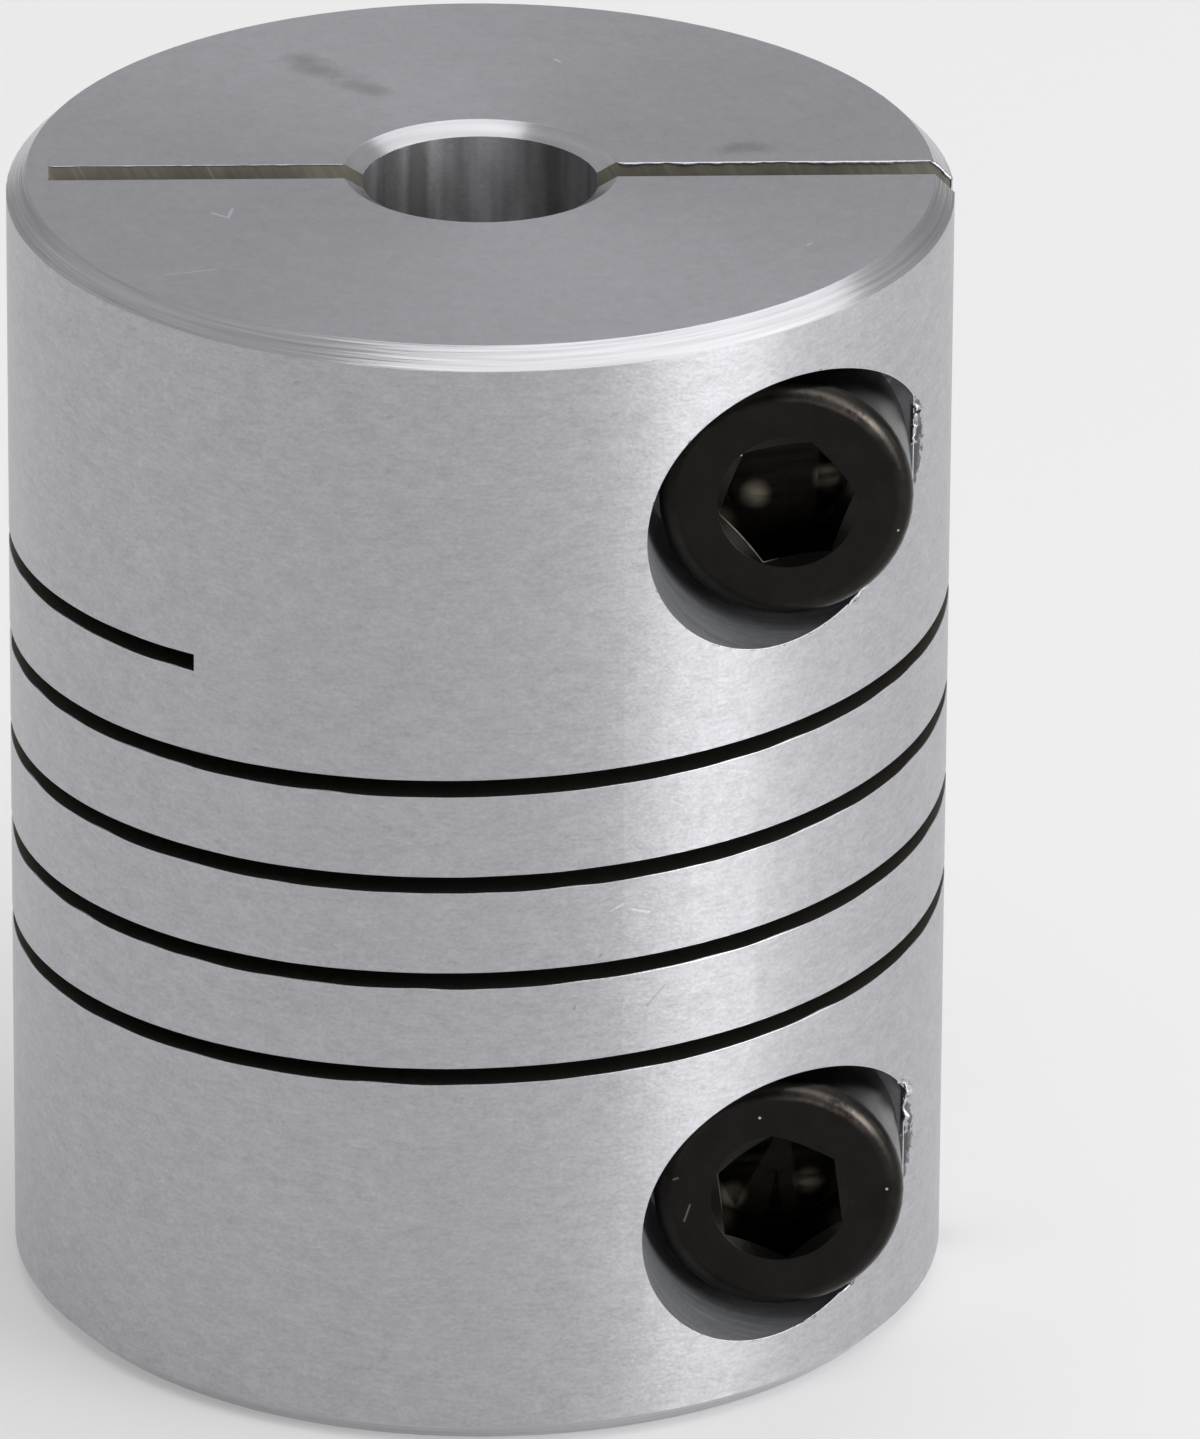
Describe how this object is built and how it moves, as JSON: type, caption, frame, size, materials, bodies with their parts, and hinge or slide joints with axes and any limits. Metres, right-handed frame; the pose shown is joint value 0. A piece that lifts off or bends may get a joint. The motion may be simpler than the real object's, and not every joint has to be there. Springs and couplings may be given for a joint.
{
  "type": "flexible coupling",
  "caption": "One-piece helical beam shaft coupling in aluminium, with slit clamp hubs, a through bore and black socket head clamp screws.",
  "frame": {"origin": "centre of the lower end face, on the shaft axis", "axes": "+Z along the shaft axis from the lower hub to the upper hub; both clamp slits lie in the plane Y = 0, and the screw heads face -Y at +X"},
  "size_m": [0.02, 0.02, 0.025],
  "materials": {
    "turned_aluminium": "satin, finely grained by turning and tumbling",
    "black_oxide_steel": "black oxide, semi-matt with a faint oily gloss"
  },
  "bodies": {
    "root": {"body": "turned_aluminium", "upper_clamp_screw": "black_oxide_steel", "lower_clamp_screw": "black_oxide_steel"}
  },
  "joints": []
}
